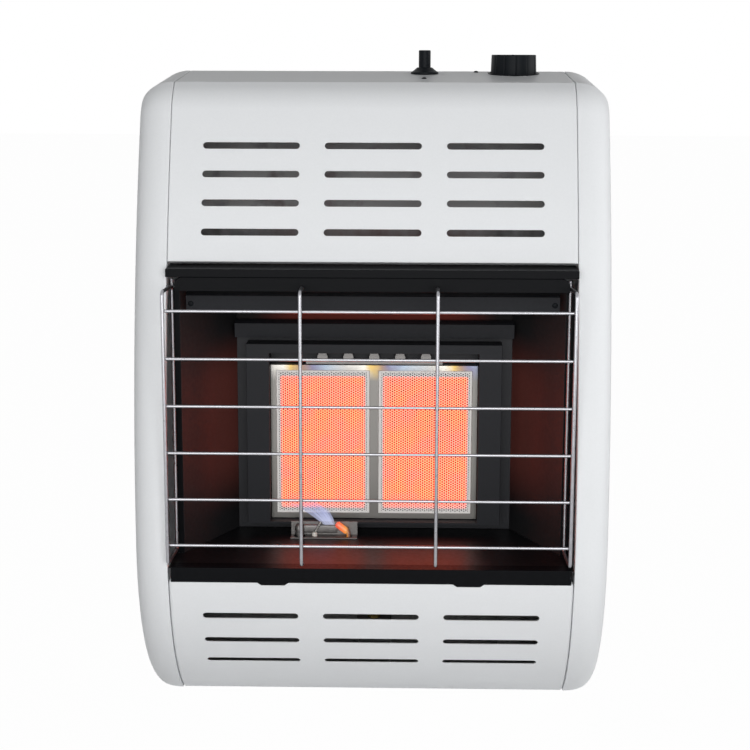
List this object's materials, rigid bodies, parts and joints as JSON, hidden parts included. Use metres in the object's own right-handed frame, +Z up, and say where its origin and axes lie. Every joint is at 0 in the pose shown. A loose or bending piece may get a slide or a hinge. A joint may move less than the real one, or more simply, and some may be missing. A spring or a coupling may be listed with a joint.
{
  "type": "vent-free gas heater",
  "caption": "Free-standing vent-free gas heater: white cabinet with rounded sides, black firebox with glowing ceramic plaques behind a chromed wire guard, knob and push igniter on top.",
  "frame": {"origin": "centre of the whole heater's footprint, at floor level", "axes": "+X to the viewer's right, +Y from the front towards the back, +Z up; the opening and the guard face -Y"},
  "size_m": [0.473, 0.2583, 0.6667],
  "materials": {
    "white_enamel": "gloss",
    "black_enamel": "gloss",
    "black_paint": "satin",
    "galvanised_steel": "matte",
    "aluminised_steel": "satin",
    "stainless_steel": "satin",
    "chromed_wire": "polished",
    "burner_ceramic": "matte, glowing",
    "brass": "satin",
    "die_cast_alloy": "as cast",
    "copper_lead": "satin",
    "black_plastic": "satin",
    "wire_sleeve": "matte"
  },
  "bodies": {
    "cabinet": {"left_side_casing": "white_enamel", "right_side_casing": "white_enamel", "upper_front_panel": "white_enamel", "lower_front_panel": "white_enamel", "hood_deflector": "black_enamel", "hood_plate": "black_enamel", "front_ledge": "black_enamel", "firebox_left_reflector": "black_enamel", "firebox_right_reflector": "black_enamel", "firebox_floor": "black_enamel", "firebox_rear_wall": "black_enamel", "firebox_front_louvre": "black_enamel", "firebox_rear_louvre": "black_enamel", "burner_surround": "black_paint", "rear_panel": "galvanised_steel", "base_pan": "galvanised_steel", "heat_baffle": "galvanised_steel", "orifice_bracket": "galvanised_steel", "regulator_stand": "galvanised_steel", "valve_bracket": "galvanised_steel", "burner_plenum": "aluminised_steel", "venturi_tube": "aluminised_steel", "burner_tube": "aluminised_steel", "pilot_tube": "aluminised_steel", "inlet_tube": "aluminised_steel", "burner_frame": "stainless_steel", "plaque_clamp_strip": "stainless_steel", "pilot_bracket": "stainless_steel", "pilot_burner": "stainless_steel", "igniter_electrode": "stainless_steel", "thermocouple": "stainless_steel", "guard_left_frame": "chromed_wire", "guard_right_frame": "chromed_wire", "guard_left_upright": "chromed_wire", "guard_right_upright": "chromed_wire", "guard_crossbar_1": "chromed_wire", "guard_crossbar_2": "chromed_wire", "guard_crossbar_3": "chromed_wire", "guard_crossbar_4": "chromed_wire", "guard_crossbar_5": "chromed_wire", "guard_crossbar_6": "chromed_wire", "ceramic_plaque_left": "burner_ceramic", "ceramic_plaque_right": "burner_ceramic", "orifice_holder": "brass", "gas_inlet_fitting": "brass", "gas_regulator": "die_cast_alloy", "gas_valve": "die_cast_alloy", "thermocouple_lead": "copper_lead", "control_bezel": "black_plastic", "igniter_collar": "black_plastic", "igniter_body": "black_plastic", "igniter_wire": "wire_sleeve"},
    "valve_collar": {"valve_drive_collar": "brass"},
    "knob": {"control_knob": "black_plastic", "valve_stem": "stainless_steel"},
    "igniter_button": {"igniter_button": "black_plastic"}
  },
  "joints": [
    {"name": "knob_turn", "type": "hinge", "parent": "cabinet", "child": "valve_collar", "pos_m": [0.145, 0.09815, 0.64218], "axis": [0, 0, 1], "range_deg": [0, 240]},
    {"name": "knob_press", "type": "slide", "parent": "valve_collar", "child": "knob", "axis": [0, 0, 1], "range_m": [-0.004, 0], "stiffness_N_per_m": 1200, "springref_m": 0.001},
    {"name": "igniter_press", "type": "slide", "parent": "cabinet", "child": "igniter_button", "axis": [0, 0, 1], "range_m": [-0.008, 0], "stiffness_N_per_m": 600, "springref_m": 0.001}
  ]
}
